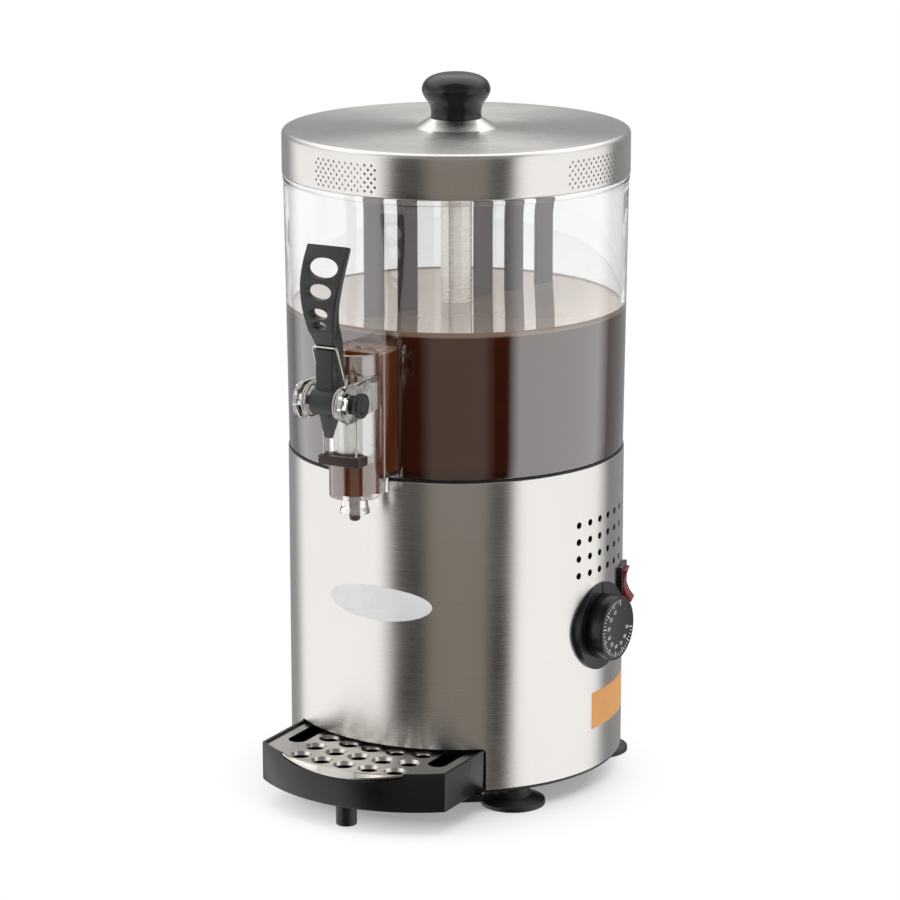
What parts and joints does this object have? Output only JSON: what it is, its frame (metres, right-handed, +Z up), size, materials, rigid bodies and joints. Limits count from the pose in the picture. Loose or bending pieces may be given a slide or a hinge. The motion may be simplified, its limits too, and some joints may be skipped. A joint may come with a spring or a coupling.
{
  "type": "hot chocolate dispenser",
  "caption": "Countertop heated drink dispenser: clear round tank with stirring paddle on a stainless base, sprung lever tap over a drip tray, lift-off lid.",
  "frame": {"origin": "on the floor, under the middle of the machine's footprint", "axes": "+Z up, -Y towards the tap and the drip tray, +X towards the thermostat"},
  "size_m": [0.2366, 0.3, 0.4625],
  "materials": {
    "stainless": "brushed",
    "zinc_steel": "plated",
    "black_plastic": "satin",
    "gloss_black": "polished",
    "charcoal_plastic": "satin",
    "clear_plastic": "clear",
    "black_rubber": "matte",
    "brown_plastic": "satin",
    "paddle_plastic": "satin",
    "red_plastic": "gloss",
    "white_nylon": "satin"
  },
  "bodies": {
    "base": {"housing_shell": "stainless", "base_plate": "black_plastic", "front_rail": "black_plastic", "foot_front_left": "black_rubber", "foot_front_right": "black_rubber", "foot_rear_left": "black_rubber", "foot_rear_right": "black_rubber", "foot_screw_front_left": "zinc_steel", "foot_screw_front_right": "zinc_steel", "foot_screw_rear_left": "zinc_steel", "foot_screw_rear_right": "zinc_steel", "heating_pan": "stainless", "tank_gasket": "black_rubber", "centre_column": "stainless", "column_nut": "zinc_steel", "column_bush": "white_nylon", "element_clamp": "zinc_steel", "heating_element": "zinc_steel", "motor_bracket": "zinc_steel", "gearbox": "zinc_steel", "gear_motor": "black_plastic", "tank_shell": "clear_plastic", "tap_axle": "black_plastic", "tap_spring": "stainless", "spring_rest": "brown_plastic", "dial_bezel": "black_plastic", "thermostat_body": "zinc_steel", "switch_frame": "black_plastic", "cable_gland": "black_plastic", "gland_nut": "black_plastic", "terminal_block": "white_nylon"},
    "lid": {"lid_shell": "stainless", "lid_knob": "gloss_black", "lid_screw": "zinc_steel"},
    "lever": {"tap_lever": "charcoal_plastic"},
    "plunger": {"tap_plunger": "stainless", "plunger_seal": "brown_plastic", "plunger_tip": "brown_plastic"},
    "agitator": {"stirring_paddle": "paddle_plastic", "drive_shaft": "stainless"},
    "dial": {"thermostat_knob": "black_plastic", "thermostat_spindle": "zinc_steel"},
    "rocker": {"switch_rocker": "red_plastic"},
    "tray": {"drip_tray": "black_plastic", "tray_leg": "black_rubber", "drip_grid": "stainless"}
  },
  "joints": [
    {"name": "lid_lift", "type": "slide", "parent": "base", "child": "lid", "axis": [0, 0, 1], "range_m": [0, 0.12]},
    {"name": "tap_pull", "type": "hinge", "parent": "base", "child": "lever", "pos_m": [-0.00586, -0.138, 0.28], "axis": [1, 0, 0], "range_deg": [0, 20], "stiffness_Nm_per_rad": 0.3, "springref_deg": -28.65, "deforming": ["tap_spring"]},
    {"name": "plunger_lift", "type": "slide", "parent": "base", "child": "plunger", "axis": [0, 0, 1], "range_m": [0, 0.00821]},
    {"name": "paddle_spin", "type": "hinge", "parent": "base", "child": "agitator", "pos_m": [-0.00586, 0.029, 0.4], "axis": [0, 0, 1], "continuous": true},
    {"name": "dial_turn", "type": "hinge", "parent": "base", "child": "dial", "pos_m": [0.10394, 0.02228, 0.1102], "axis": [0.9981, -0.061, 0], "range_deg": [-270, 0]},
    {"name": "rocker_tip", "type": "hinge", "parent": "base", "child": "rocker", "pos_m": [0.09495, 0.06176, 0.126], "axis": [-0.309, 0.9511, 0], "range_deg": [0, 18]},
    {"name": "tray_slide", "type": "slide", "parent": "base", "child": "tray", "axis": [0, -1, 0], "range_m": [0, 0.11]}
  ],
  "couplings": [
    {"joint": "plunger_lift", "follows": "tap_pull", "m_per_rad": 0.0235}
  ]
}
